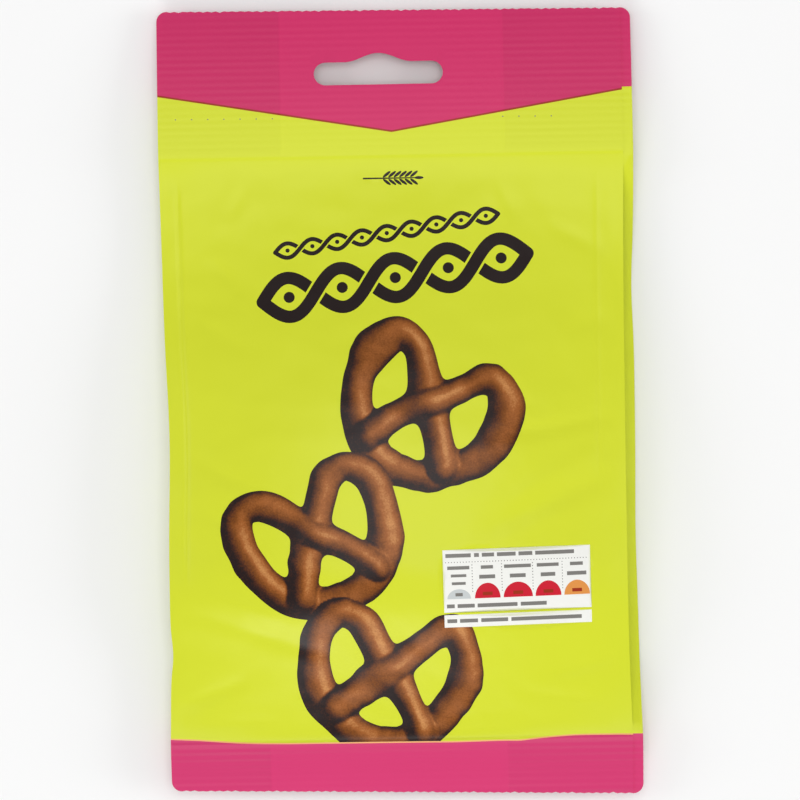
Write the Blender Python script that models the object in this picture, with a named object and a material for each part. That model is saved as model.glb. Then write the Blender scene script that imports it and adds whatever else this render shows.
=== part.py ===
"""A shut snack bag of printed film, lying on its back with the printed front up.

The bag is one flat tube of film with a pleat (gusset) down each side. A wide seal with a
hanging slot closes its header and a narrow seal closes its foot. Between the seals the
contents push the front up into a low crown, press the back flat on the floor and spread
the pleats into a groove along each side.

X runs to the right of the printed front, Y runs towards the header and Z is up. The
origin is on the floor, under the middle of the bag. All sizes are in metres.
"""

import math

import bmesh
import bpy

# Outline, seen from above
HEADER_EDGE = 0.09765        # header's cut edge, on the middle line
FOOT_EDGE = -0.09675         # foot's cut edge, on the middle line
HEADER_LEAN = -0.0087        # how far the header's cut edge drops for each metre to the right
FOOT_LEAN = -0.024           # the same for the foot's cut edge
HEADER_SEAL = 0.0613         # where the header's seal ends and the filled body starts
FOOT_SEAL = -0.0838          # where the filled body ends and the foot's seal starts
PANEL_WIDTH = 0.1152         # front panel and back panel, crease to crease
PANEL_SHIFT = 0.00125        # the front lies this far to the left, the back as far to the right
FOOT_TAPER = 0.0004          # the foot is this much narrower on each side than the header

# How the filled body draws its four creases in
FRONT_LEFT_DRAW = 0.0008
FRONT_RIGHT_DRAW = 0.0010
BACK_LEFT_DRAW = 0.0009
BACK_RIGHT_DRAW = 0.0004
DENTS = {                    # local dents of the outline: place along Y, spread along Y, depth
    "left middle": (-0.008, 0.020, 0.0008),
    "left low": (-0.0615, 0.005, 0.0006),
    "right high": (0.028, 0.011, 0.0005),
    "right low": (-0.033, 0.015, 0.0003),
}

# Heights above the floor
SEALED_FILM = 0.0005         # the films of a seal with their pressed ribs
HEADER_LEVEL = 0.0075        # header's films where the body starts
HEADER_DROOP = 0.0040        # how far they droop from there to the cut edge
FOOT_LEVEL = 0.0080
FOOT_DROOP = 0.0025
DROOP_POWER = 1.6
MOUTH = 0.0125               # opening of the side grooves, crease to crease
FRONT_RISE = 0.0095          # rise of the front panel above its creases
ARCH_POWER = 2.4             # 2 is a parabola; more is flatter in the middle
EDGE_CURL = 0.0015           # the back panel's edges lift this far off the floor
CURL_START = 0.044           # and start to lift this far from the middle

# How far from each seal the contents need to reach their full height
FOOT_RISE_REACH = 0.044
HEADER_RISE_REACH = 0.082
FOOT_SETTLE_REACH = 0.028    # the back panel is flat on the floor from here on
HEADER_SETTLE_REACH = 0.040

# Side pleats
GUSSET_DEPTH = 0.022
GUSSET_REACH = 0.016         # a groove is at its full depth this far from a seal

# Soft bulges of the front over the largest pieces inside: X, Y, radius, height
BULGES = (
    (-0.022, -0.034, 0.020, 0.0010),
    (0.020, -0.050, 0.018, 0.0008),
    (0.024, -0.010, 0.020, 0.0009),
    (-0.014, 0.006, 0.019, 0.0008),
    (0.010, 0.030, 0.018, 0.0006),
    (-0.032, 0.032, 0.016, 0.0005),
)

# Hanging slot: a long hole with round ends and a bell-shaped hump
SLOT_CENTRE = -0.00394
SLOT_LENGTH = 0.032
SLOT_BOTTOM = 0.07895
SLOT_HEIGHT = 0.0057
HUMP_HEIGHT = 0.0022
HUMP_HALF = 0.0084

# Cut edges
CORNER_RADIUS = 0.0025
TOOTH_PITCH = 0.00205
TOOTH_DEPTH = 0.00035

# Mesh
FRONT_COLUMNS = 30
BACK_COLUMNS = 16
FOOT_ROWS = 3
BODY_ROWS = 38
HEADER_ROWS = 7
ARC_STEPS = 6
SPARE = 0.003                # the loft runs this far past the outline that trims it
CUTTER_BOTTOM = -0.005
CUTTER_TOP = 0.030
SHARP_ANGLE = math.radians(38)


def held(value):
    """Keep a fraction between 0 and 1."""
    return max(0.0, min(1.0, value))


def mix(start, end, share):
    return start + (end - start) * share


def swell(distance, reach):
    """Quarter sine: 0 at a seal, 1 once the distance has grown to the reach."""
    return math.sin(0.5 * math.pi * held(distance / reach))


def bell(value, centre, spread):
    return math.exp(-(((value - centre) / spread) ** 2))


def fill(y):
    """How full the bag is at y: 0 in both seals, 1 where it is plumpest."""
    return swell(y - FOOT_SEAL, FOOT_RISE_REACH) * swell(HEADER_SEAL - y, HEADER_RISE_REACH)


def dent(name, y):
    place, spread, depth = DENTS[name]
    return depth * bell(y, place, spread)


def taper(y):
    return FOOT_TAPER * held((HEADER_SEAL - y) / (HEADER_SEAL - FOOT_EDGE))


def front_left(y):
    outline = -PANEL_WIDTH / 2 - PANEL_SHIFT + taper(y)
    return outline + FRONT_LEFT_DRAW * fill(y) + dent("left middle", y) + dent("left low", y)


def front_right(y):
    return PANEL_WIDTH / 2 - PANEL_SHIFT - taper(y) - FRONT_RIGHT_DRAW * fill(y)


def back_left(y):
    return -PANEL_WIDTH / 2 + PANEL_SHIFT + taper(y) + BACK_LEFT_DRAW * fill(y)


def back_right(y):
    outline = PANEL_WIDTH / 2 + PANEL_SHIFT - taper(y)
    return outline - BACK_RIGHT_DRAW * fill(y) - dent("right high", y) - dent("right low", y)


def film_level(y):
    """Height of the middle of the sealed films: they stand off the floor and droop outwards."""
    header_share = held((y - HEADER_SEAL) / (HEADER_EDGE - HEADER_SEAL))
    foot_share = held((FOOT_SEAL - y) / (FOOT_SEAL - FOOT_EDGE))
    header = HEADER_LEVEL - HEADER_DROOP * header_share**DROOP_POWER
    foot = FOOT_LEVEL - FOOT_DROOP * foot_share**DROOP_POWER
    return mix(foot, header, held((y - FOOT_SEAL) / (HEADER_SEAL - FOOT_SEAL)))


def back_height(x, y):
    """The back panel comes down from both seals, lies flat and curls up at its creases."""
    settled = swell(y - FOOT_SEAL, FOOT_SETTLE_REACH) * swell(HEADER_SEAL - y, HEADER_SETTLE_REACH)
    curl = held((abs(x) - CURL_START) / (PANEL_WIDTH / 2 - CURL_START)) ** 2
    return (film_level(y) - SEALED_FILM / 2) * (1 - settled) + EDGE_CURL * curl * fill(y)


def crease_height(back_x, y):
    """Height of a front crease, above the back crease of the same side."""
    return back_height(back_x, y) + mix(SEALED_FILM, MOUTH, fill(y))


def front_height(x, y):
    """The front panel arches from crease to crease, with soft bulges over the contents."""
    share = held((x - front_left(y)) / (front_right(y) - front_left(y)))
    arch = 1 - abs(2 * share - 1) ** ARCH_POWER
    creases = mix(crease_height(back_left(y), y), crease_height(back_right(y), y), share)
    bulges = sum(
        height * bell(math.hypot(x - bulge_x, y - bulge_y), 0, radius)
        for bulge_x, bulge_y, radius, height in BULGES
    )
    return creases + (FRONT_RISE + bulges) * arch * fill(y)


def pleat(back_corner, front_corner, inward, y):
    """Three points of the V between a back crease and a front crease; inward is 1 or -1."""
    depth = GUSSET_DEPTH * swell(min(y - FOOT_SEAL, HEADER_SEAL - y), GUSSET_REACH)
    points = []
    for share in (0.25, 0.5, 0.75):
        x = mix(back_corner[0], front_corner[0], share)
        z = mix(back_corner[1], front_corner[1], share)
        points.append((x + inward * depth * (1 - abs(2 * share - 1)), z))
    return points


def section(y):
    """The closed outline of the bag across its width at y, as X and Z pairs."""
    back = [
        mix(back_left(y), back_right(y), column / BACK_COLUMNS)
        for column in range(BACK_COLUMNS + 1)
    ]
    front = [
        mix(front_right(y), front_left(y), column / FRONT_COLUMNS)
        for column in range(FRONT_COLUMNS + 1)
    ]
    back = [(x, back_height(x, y)) for x in back]
    front = [(x, front_height(x, y)) for x in front]
    right_pleat = pleat(back[-1], front[0], -1, y)
    left_pleat = pleat(back[0], front[-1], 1, y)
    return back + right_pleat + front + list(reversed(left_pleat))


def stations():
    """Places along Y of the sections, closer together beside the seals."""
    foot = [mix(FOOT_EDGE - SPARE, FOOT_SEAL, row / FOOT_ROWS) for row in range(FOOT_ROWS)]
    body = []
    for row in range(BODY_ROWS + 1):
        share = row / BODY_ROWS
        eased = 0.5 - 0.5 * math.cos(math.pi * share)
        body.append(mix(FOOT_SEAL, HEADER_SEAL, mix(share, eased, 0.6)))
    header = [
        mix(HEADER_SEAL, HEADER_EDGE + SPARE, (row + 1) / HEADER_ROWS)
        for row in range(HEADER_ROWS)
    ]
    return foot + body + header


def make_loft(name, collection):
    """The untrimmed bag: all sections joined by faces, with both ends closed."""
    mesh = bpy.data.meshes.new(name)
    shape = bmesh.new()
    rings = [[shape.verts.new((x, y, z)) for x, z in section(y)] for y in stations()]
    for near, far in zip(rings, rings[1:]):
        for here in range(len(near)):
            after = (here + 1) % len(near)
            shape.faces.new((near[here], near[after], far[after], far[here]))
    shape.faces.new(reversed(rings[0]))
    shape.faces.new(rings[-1])
    bmesh.ops.triangulate(shape, faces=shape.faces)
    bmesh.ops.recalc_face_normals(shape, faces=shape.faces)
    shape.to_mesh(mesh)
    shape.free()
    bag = bpy.data.objects.new(name, mesh)
    collection.objects.link(bag)
    return bag


def arc(centre_x, centre_y, start_degrees):
    """A quarter circle of the corner radius, counter-clockwise from the given angle."""
    points = []
    for step in range(ARC_STEPS + 1):
        angle = math.radians(start_degrees + 90 * step / ARC_STEPS)
        points.append(
            (centre_x + CORNER_RADIUS * math.cos(angle), centre_y + CORNER_RADIUS * math.sin(angle))
        )
    return points


def teeth(start_x, end_x, edge, lean, inward):
    """Zigzag cut from start_x to end_x along a leaning edge; the notches go inward (1 is +Y)."""
    count = round(abs(end_x - start_x) / TOOTH_PITCH)
    points = []
    for tooth in range(count):
        notch_x = mix(start_x, end_x, (tooth + 0.5) / count)
        points.append((notch_x, edge + lean * notch_x + inward * TOOTH_DEPTH))
        if tooth < count - 1:
            tip_x = mix(start_x, end_x, (tooth + 1) / count)
            points.append((tip_x, edge + lean * tip_x))
    return points


def trim_outline():
    """The finished outline: toothed cut edges, four round corners and sides clear of the bag."""
    foot_left, foot_right = front_left(FOOT_EDGE), back_right(FOOT_EDGE)
    head_left, head_right = front_left(HEADER_EDGE), back_right(HEADER_EDGE)
    round_off = CORNER_RADIUS
    low_left_y = FOOT_EDGE + FOOT_LEAN * foot_left + round_off
    low_right_y = FOOT_EDGE + FOOT_LEAN * foot_right + round_off
    top_right_y = HEADER_EDGE + HEADER_LEAN * head_right - round_off
    top_left_y = HEADER_EDGE + HEADER_LEAN * head_left - round_off
    outline = arc(foot_left + round_off, low_left_y, 180)
    outline += teeth(foot_left + round_off, foot_right - round_off, FOOT_EDGE, FOOT_LEAN, 1)
    outline += arc(foot_right - round_off, low_right_y, 270)
    outline += [(head_right + SPARE, low_right_y + SPARE), (head_right + SPARE, top_right_y - SPARE)]
    outline += arc(head_right - round_off, top_right_y, 0)
    outline += teeth(head_right - round_off, head_left + round_off, HEADER_EDGE, HEADER_LEAN, -1)
    outline += arc(head_left + round_off, top_left_y, 90)
    outline += [(head_left - SPARE, top_left_y - SPARE), (head_left - SPARE, low_left_y + SPARE)]
    return outline


def slot_outline():
    """The hanging slot: half circles at both ends, and a raised cosine hump on the top side."""
    radius = SLOT_HEIGHT / 2
    reach = SLOT_LENGTH / 2 - radius
    middle_y = SLOT_BOTTOM + radius
    outline = []
    for step in range(2 * ARC_STEPS + 1):
        angle = math.radians(-90 + 90 * step / ARC_STEPS)
        outline.append(
            (SLOT_CENTRE + reach + radius * math.cos(angle), middle_y + radius * math.sin(angle))
        )
    hump_steps = 2 * ARC_STEPS
    for step in range(1, hump_steps):
        offset = mix(HUMP_HALF, -HUMP_HALF, step / hump_steps)
        rise = HUMP_HEIGHT * (0.5 + 0.5 * math.cos(math.pi * offset / HUMP_HALF))
        outline.append((SLOT_CENTRE + offset, SLOT_BOTTOM + SLOT_HEIGHT + rise))
    for step in range(2 * ARC_STEPS + 1):
        angle = math.radians(90 + 90 * step / ARC_STEPS)
        outline.append(
            (SLOT_CENTRE - reach + radius * math.cos(angle), middle_y + radius * math.sin(angle))
        )
    return outline


def make_cutter(name, outline, collection):
    """A flat outline as an extruded 2D curve, made a closed mesh that a Boolean can use."""
    curve = bpy.data.curves.new(name + "_curve", "CURVE")
    curve.dimensions = "2D"
    curve.fill_mode = "BOTH"
    curve.extrude = (CUTTER_TOP - CUTTER_BOTTOM) / 2
    spline = curve.splines.new("POLY")
    spline.points.add(len(outline) - 1)
    for point, (x, y) in zip(spline.points, outline):
        point.co = (x, y, 0, 1)
    spline.use_cyclic_u = True
    guide = bpy.data.objects.new(name + "_curve", curve)
    guide.location.z = (CUTTER_TOP + CUTTER_BOTTOM) / 2
    collection.objects.link(guide)
    bpy.context.view_layer.update()

    evaluated = guide.evaluated_get(bpy.context.evaluated_depsgraph_get())
    mesh = bpy.data.meshes.new_from_object(evaluated)
    welded = bmesh.new()
    welded.from_mesh(mesh)
    bmesh.ops.remove_doubles(welded, verts=welded.verts, dist=0.000001)
    bmesh.ops.recalc_face_normals(welded, faces=welded.faces)
    welded.to_mesh(mesh)
    welded.free()
    cutter = bpy.data.objects.new(name, mesh)
    cutter.matrix_world = guide.matrix_world
    cutter.hide_render = True
    cutter.display_type = "WIRE"
    collection.objects.link(cutter)
    bpy.data.objects.remove(guide)
    bpy.data.curves.remove(curve)
    return cutter


def add_boolean(bag, name, operation, cutter):
    boolean = bag.modifiers.new(name, "BOOLEAN")
    boolean.operation = operation
    boolean.solver = "EXACT"
    boolean.object = cutter


def film_material():
    """Glossy printed film in the lime of the body."""
    material = bpy.data.materials.new("lime_film")
    material.use_nodes = True
    surface = material.node_tree.nodes["Principled BSDF"]
    surface.inputs["Base Color"].default_value = (0.66, 0.73, 0.045, 1)
    surface.inputs["Roughness"].default_value = 0.38
    surface.inputs["Metallic"].default_value = 0.0
    return material


def main():
    for old in list(bpy.data.objects):
        bpy.data.objects.remove(old)
    parts = bpy.data.collections.new("snack_bag")
    cutters = bpy.data.collections.new("cutters")
    bpy.context.scene.collection.children.link(parts)
    bpy.context.scene.collection.children.link(cutters)

    bag = make_loft("bag", parts)
    bag.data.materials.append(film_material())
    bag.data.shade_smooth()
    bag.data.set_sharp_from_angle(angle=SHARP_ANGLE)
    add_boolean(bag, "trim to outline", "INTERSECT", make_cutter("outline", trim_outline(), cutters))
    add_boolean(bag, "hanging slot", "DIFFERENCE", make_cutter("slot", slot_outline(), cutters))


main()
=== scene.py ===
# %% [markdown]
# # A shut snack bag of printed film
#
# The object is a filled bag made from one tube of printed film. A wide sealed header holds a
# hanging slot, a narrow seal closes the foot, and a pleat runs down each side. It lies on its
# back, so the camera looks straight down at the printed front.
#
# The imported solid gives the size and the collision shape. This lesson makes the fine surface
# over the same shape: pressed ribs, creases, soft wrinkles, toothed cut edges and the print.

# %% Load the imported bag
import math

import bmesh
import bpy
import numpy as np
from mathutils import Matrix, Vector, kdtree, noise
from mathutils.geometry import delaunay_2d_cdt


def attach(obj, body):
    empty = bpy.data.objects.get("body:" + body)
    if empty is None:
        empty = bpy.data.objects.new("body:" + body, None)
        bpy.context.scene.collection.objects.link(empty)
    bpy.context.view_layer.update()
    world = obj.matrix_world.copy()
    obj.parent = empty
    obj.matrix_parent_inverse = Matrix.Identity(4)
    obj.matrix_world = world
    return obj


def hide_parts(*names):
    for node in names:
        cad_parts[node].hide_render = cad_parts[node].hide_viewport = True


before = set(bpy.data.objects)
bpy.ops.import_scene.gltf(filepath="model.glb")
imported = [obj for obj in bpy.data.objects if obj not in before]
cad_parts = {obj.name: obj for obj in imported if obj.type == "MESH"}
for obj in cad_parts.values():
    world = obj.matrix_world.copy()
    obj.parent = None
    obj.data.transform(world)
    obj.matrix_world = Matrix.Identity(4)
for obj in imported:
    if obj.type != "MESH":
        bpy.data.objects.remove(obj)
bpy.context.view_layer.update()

# %% [markdown]
# ## Camera
#
# The photograph looks straight at the printed front, so the camera hangs over the bag. A long
# lens keeps the perspective weak. The bag leans by about one degree in the picture, and turning
# the camera about its own axis gives that lean without moving the bag.

# %% Camera over the bag
PIXELS_PER_MM = 4.03
PICTURE_PIXELS = 800
LENS_MM = 200
SENSOR_MM = 36
BAG_LEAN = math.radians(1.106)
HEADER_PLANE = 0.0055         # height at which the picture's scale holds, in metres
LOOK_AT = (-0.00012, 0.0006)  # the point of the bag in the middle of the picture

frame_width_mm = PICTURE_PIXELS / PIXELS_PER_MM
camera_data = bpy.data.cameras.new("camera")
camera_data.lens = LENS_MM
camera_data.sensor_width = SENSOR_MM
camera = bpy.data.objects.new("camera", camera_data)
camera_height = frame_width_mm / 1000 * LENS_MM / SENSOR_MM + HEADER_PLANE
camera.location = (LOOK_AT[0], LOOK_AT[1], camera_height)
camera.rotation_euler = (0, 0, -BAG_LEAN)
bpy.context.scene.collection.objects.link(camera)
bpy.context.scene.camera = camera
print("camera height in mm:", round(1000 * camera_height))

# %% [markdown]
# ## Floor and light
#
# A packshot has a white ground and light from all round. A soft lamp straight above gives the
# flat, even look and also reaches the floor through the hanging slot. Four more lamps light the
# bag from the sides, the one at the foot most of all, because a wrinkle only shows when its two
# flanks are lit differently. They stand low and far away, so their mirror images in the glossy
# film miss the camera.

# %% Floor and studio lamps
FLOOR_SIZE, FLOOR_COLOUR, FLOOR_ROUGHNESS = 6, (0.93, 0.93, 0.93), 0.9
FLOOR_GAP = 0.00005           # keeps the floor just clear of the bag's underside
WORLD_LIGHT = 0.40
LAMPS = (  # name, place, size in metres and watts
    ("lamp_above", (0.0, 0.1, 1.7), 0.9, 9),
    ("lamp_header_side", (0.3, 2.2, 1.1), 1.0, 7),
    ("lamp_foot_side", (-0.5, -2.2, 1.0), 1.0, 23),
    ("lamp_left", (-2.2, 0.2, 1.1), 1.0, 8),
    ("lamp_right", (2.3, -0.2, 1.0), 1.0, 15),
)


def plain_material(name, colour, roughness):
    material = bpy.data.materials.new(name)
    material.use_nodes = True
    surface = material.node_tree.nodes["Principled BSDF"]
    surface.inputs["Base Color"].default_value = (*colour, 1)
    surface.inputs["Roughness"].default_value = roughness
    return material


bpy.ops.mesh.primitive_plane_add(size=FLOOR_SIZE, location=(0, 0, -FLOOR_GAP))
floor = bpy.context.object
floor.name = "floor"
floor.data.materials.append(plain_material("pale_floor", FLOOR_COLOUR, FLOOR_ROUGHNESS))


def add_lamp(name, place, size, watts):
    lamp = bpy.data.lights.new(name, "AREA")
    lamp.shape = "SQUARE"
    lamp.size = size
    lamp.energy = watts
    holder = bpy.data.objects.new(name, lamp)
    holder.location = place
    holder.rotation_euler = (-Vector(place)).to_track_quat("-Z", "Y").to_euler()
    bpy.context.scene.collection.objects.link(holder)


for lamp in LAMPS:
    add_lamp(*lamp)
world = bpy.data.worlds.new("studio")
world.use_nodes = True
world.node_tree.nodes["Background"].inputs["Color"].default_value = (1, 1, 1, 1)
world.node_tree.nodes["Background"].inputs["Strength"].default_value = WORLD_LIGHT
bpy.context.scene.world = world
bpy.context.scene.view_settings.view_transform = "Standard"
print("studio lamps:", len(LAMPS))

# %% [markdown]
# ## The shape of the bag
#
# Everything that follows asks the same question: how high is the film at a place (x, y)? A few
# named sizes and short formulas answer it for the front panel, the back panel and the pleats.
# They are the solid's own sizes, so the fine film lies on the solid. The formulas take whole
# arrays of places, which is much faster than one place at a time. Lengths here are in
# millimetres, and the mesh is scaled to metres once, at the end.

# %% Sizes of the bag, in millimetres
HEADER_EDGE, FOOT_EDGE = 97.65, -96.75
HEADER_LEAN, FOOT_LEAN = -0.0087, -0.024
HEADER_SEAL, FOOT_SEAL = 61.3, -83.8
PANEL_WIDTH, PANEL_SHIFT, FOOT_TAPER = 115.2, 1.25, 0.4
CORNER_RADIUS = 2.5
FILM_LAYER = 0.2              # half of the sealed films' thickness
HEADER_LEVEL, FOOT_LEVEL = 7.5, 8.0      # height of the sealed films where the seals start
HEADER_DROOP, FOOT_DROOP = 4.0, 2.5      # how far they hang down at the cut edges
DROOP_POWER = 1.6
HEADER_FILL, FOOT_FILL = 82.0, 44.0      # distance from each seal to where the bag is full
HEADER_SOFTNESS, FOOT_SOFTNESS = 3.0, 1.5
HEADER_SETTLE, FOOT_SETTLE = 40.0, 28.0  # distance from each seal to where the back lies flat
FRONT_LEFT_PULL, FRONT_RIGHT_PULL = 0.8, 1.0  # how far the filling draws each crease inwards
BACK_LEFT_PULL, BACK_RIGHT_PULL = 0.9, 0.4
LEFT_DENTS = ((-8.0, 20.0, 0.8), (-61.5, 5.0, 0.6))  # y, spread and depth of each dent
RIGHT_DENTS = ((28.0, 11.0, 0.5), (-33.0, 15.0, 0.3))
MOUTH, FRONT_RISE, ARCH_POWER = 12.5, 9.3, 2.4
EDGE_CURL, CURL_START = 1.5, 44.0
GUSSET_DEPTH, GUSSET_REACH = 22.0, 16.0
BULGES = (  # x, y, radius and height of each soft bulge in the front
    (-22, -34, 20, 1.0),
    (20, -50, 18, 0.8),
    (24, -10, 20, 0.9),
    (-14, 6, 19, 0.8),
    (10, 30, 18, 0.6),
    (-32, 32, 16, 0.5),
)


def held(value):
    return np.clip(value, 0.0, 1.0)


def mix(start, end, share):
    return start + (end - start) * share


def swell(distance, reach):
    """Quarter sine: 0 at a seal and 1 once the distance has grown to the reach."""
    return np.sin(0.5 * np.pi * held(distance / reach))


def bell(value, centre, spread):
    return np.exp(-(((value - centre) / spread) ** 2))


def ease(share):
    share = held(share)
    return share * share * (3 - 2 * share)


# %% Outline of the filled bag
def soft_start(distance, softness):
    """A distance that starts slowly: the film leaves a seal in a small curve, not in a kink."""
    distance = np.maximum(distance, 0.0)
    return distance - softness * (1 - np.exp(-distance / softness))


def fill(y):
    """How full the bag is: 0 at both seals and near 1 in the middle."""
    from_foot = swell(soft_start(y - FOOT_SEAL, FOOT_SOFTNESS), FOOT_FILL)
    return from_foot * swell(soft_start(HEADER_SEAL - y, HEADER_SOFTNESS), HEADER_FILL)


def taper(y):
    return FOOT_TAPER * held((HEADER_SEAL - y) / (HEADER_SEAL - FOOT_EDGE))


def dented(outline, y, dents, inward):
    for middle, spread, depth in dents:
        outline = outline + inward * depth * bell(y, middle, spread)
    return outline


def front_left(y):
    outline = -PANEL_WIDTH / 2 - PANEL_SHIFT + taper(y) + FRONT_LEFT_PULL * fill(y)
    return dented(outline, y, LEFT_DENTS, 1)


def front_right(y):
    return PANEL_WIDTH / 2 - PANEL_SHIFT - taper(y) - FRONT_RIGHT_PULL * fill(y)


def back_left(y):
    return -PANEL_WIDTH / 2 + PANEL_SHIFT + taper(y) + BACK_LEFT_PULL * fill(y)


def back_right(y):
    outline = PANEL_WIDTH / 2 + PANEL_SHIFT - taper(y) - BACK_RIGHT_PULL * fill(y)
    return dented(outline, y, RIGHT_DENTS, -1)


# %% Heights of the front and the back
def film_level(y):
    """Height of the middle of the sealed films, which droop towards the cut edges."""
    to_header_edge = held((y - HEADER_SEAL) / (HEADER_EDGE - HEADER_SEAL))
    to_foot_edge = held((FOOT_SEAL - y) / (FOOT_SEAL - FOOT_EDGE))
    header = HEADER_LEVEL - HEADER_DROOP * to_header_edge**DROOP_POWER
    foot = FOOT_LEVEL - FOOT_DROOP * to_foot_edge**DROOP_POWER
    return mix(foot, header, held((y - FOOT_SEAL) / (HEADER_SEAL - FOOT_SEAL)))


def back_height(x, y):
    settled = swell(y - FOOT_SEAL, FOOT_SETTLE) * swell(HEADER_SEAL - y, HEADER_SETTLE)
    curl = held((np.abs(x) - CURL_START) / (PANEL_WIDTH / 2 - CURL_START)) ** 2
    return (film_level(y) - FILM_LAYER) * (1 - settled) + EDGE_CURL * curl * fill(y)


def crease_height(back_x, y):
    return back_height(back_x, y) + mix(2 * FILM_LAYER, MOUTH, fill(y))


def front_height(x, y):
    share = held((x - front_left(y)) / (front_right(y) - front_left(y)))
    arch = 1 - np.abs(2 * share - 1) ** ARCH_POWER
    creases = mix(crease_height(back_left(y), y), crease_height(back_right(y), y), share)
    bulges = sum(
        height * bell(np.hypot(x - bulge_x, y - bulge_y), 0, radius)
        for bulge_x, bulge_y, radius, height in BULGES
    )
    return creases + (FRONT_RISE + bulges) * arch * fill(y)


print("highest point of the smooth front in mm:", round(float(front_height(0.0, -20.0)), 1))

# %% [markdown]
# ## Relief of the film
#
# Hot jaws press fine ribs across both seals. Where the pleats are caught in a seal there are
# four films instead of two, so the ribs stand higher and a small step shows. The filled part has
# long soft folds where pieces inside push, short puckers under the seals and a crease a little
# inside each side. All of it is real height in the mesh: bump in a material would be lost at the
# outline.

# %% Ribs of the seals
RIB_PITCH = 1.7
RIB_HEIGHT, HEADER_PLEAT_RIB, FOOT_PLEAT_RIB, PLEAT_STEP = 0.008, 0.011, 0.030, 0.05
RIB_UNEVENNESS = 0.45
HEADER_PLEATS = (-28.5, 27.0)  # x up to which each pleat reaches into the seal
FOOT_PLEATS = (-33.8, 25.0)
PLEAT_BLEND = 0.6
SEAL_BLEND = 1.5


def four_films(x, y):
    """1 where a pleat is caught in the seal, 0 in the middle."""
    left = np.where(y > 0, HEADER_PLEATS[0], FOOT_PLEATS[0])
    right = np.where(y > 0, HEADER_PLEATS[1], FOOT_PLEATS[1])
    return ease((left - x) / PLEAT_BLEND + 0.5) + ease((x - right) / PLEAT_BLEND + 0.5)


def ribs(x, y):
    """Ribs whose height comes and goes a little, because no jaw presses quite evenly."""
    sealed = held((y - HEADER_SEAL) / SEAL_BLEND) + held((FOOT_SEAL - y) / SEAL_BLEND)
    pleat_height = np.where(y > 0, HEADER_PLEAT_RIB, FOOT_PLEAT_RIB)
    height = mix(RIB_HEIGHT, pleat_height, four_films(x, y))
    waves = RIB_UNEVENNESS * np.sin(0.61 * y + 0.05 * x) * np.cos(0.27 * y - 0.09 * x + 1.0)
    return sealed * height * (1 + waves) * np.cos(2 * np.pi * (y - HEADER_SEAL) / RIB_PITCH)


# %% Folds of the filled part
FOLDS = (  # from x, y to x, y, half width, height; a negative height is a valley
    (20.0, -9.4, 53.0, -4.2, 1.9, -0.46),
    (17.0, -33.5, 53.0, -17.5, 2.3, -0.52),
    (24.0, -25.0, 50.0, -12.0, 2.0, 0.24),
    (-55.5, -49.8, -17.0, -62.5, 2.1, -0.50),
    (-53.0, -44.0, -24.0, -55.5, 1.8, 0.26),
    (-56.5, -74.6, -38.0, -67.5, 1.9, -0.44),
    (33.0, -68.0, 53.0, -63.5, 1.8, -0.36),
    (-52.0, 23.0, -38.0, 13.0, 2.0, -0.24),
    (-47.0, 37.0, -38.0, 27.0, 1.7, -0.20),
    (-53.0, -12.0, -34.0, -22.0, 2.0, -0.28),
    (-50.0, -27.0, -36.0, -31.0, 1.7, -0.22),
    (36.0, 44.0, 52.0, 36.0, 2.0, -0.22),
    (40.0, 17.0, 54.0, 21.0, 1.8, -0.22),
    (24.0, 56.0, 30.0, 44.0, 1.6, -0.16),
    (-36.0, 57.0, -42.0, 45.0, 1.6, -0.16),
    (26.0, -72.0, 50.0, -75.0, 1.6, -0.26),
    (8.0, -79.0, 30.0, -76.0, 1.4, -0.16),
    (-52.0, -79.5, -30.0, -78.0, 1.5, -0.22),
)


def fold(x, y, from_x, from_y, to_x, to_y, half_width, height):
    """A soft ridge along a line, fading out at both ends."""
    length = math.hypot(to_x - from_x, to_y - from_y)
    along_x, along_y = (to_x - from_x) / length, (to_y - from_y) / length
    along = (x - from_x) * along_x + (y - from_y) * along_y
    across = (y - from_y) * along_x - (x - from_x) * along_y
    fade = np.sin(np.pi * held(along / length)) ** 0.8
    return height * fade * bell(across, 0, half_width)


print("folds:", len(FOLDS))

# %% Noise, puckers and creases of the filled part
HEADER_PUCKER, FOOT_PUCKER = 0.22, 0.16
LEFT_CREASE, RIGHT_CREASE = 0.24, 0.12            # depth of the crease inside each side
LEFT_CREASE_INSET, RIGHT_CREASE_INSET = 4.4, 6.6  # how far inside the outline it runs


def noise_field(x, y, cell, layer):
    """Smooth repeatable noise between about -1 and 1, for arrays of places."""
    flat_x, flat_y = np.broadcast_arrays(np.atleast_1d(x), np.atleast_1d(y))
    values = [
        noise.noise(Vector((a / cell, b / cell, layer)))
        for a, b in zip(flat_x.ravel(), flat_y.ravel())
    ]
    return np.array(values).reshape(flat_x.shape)


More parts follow.
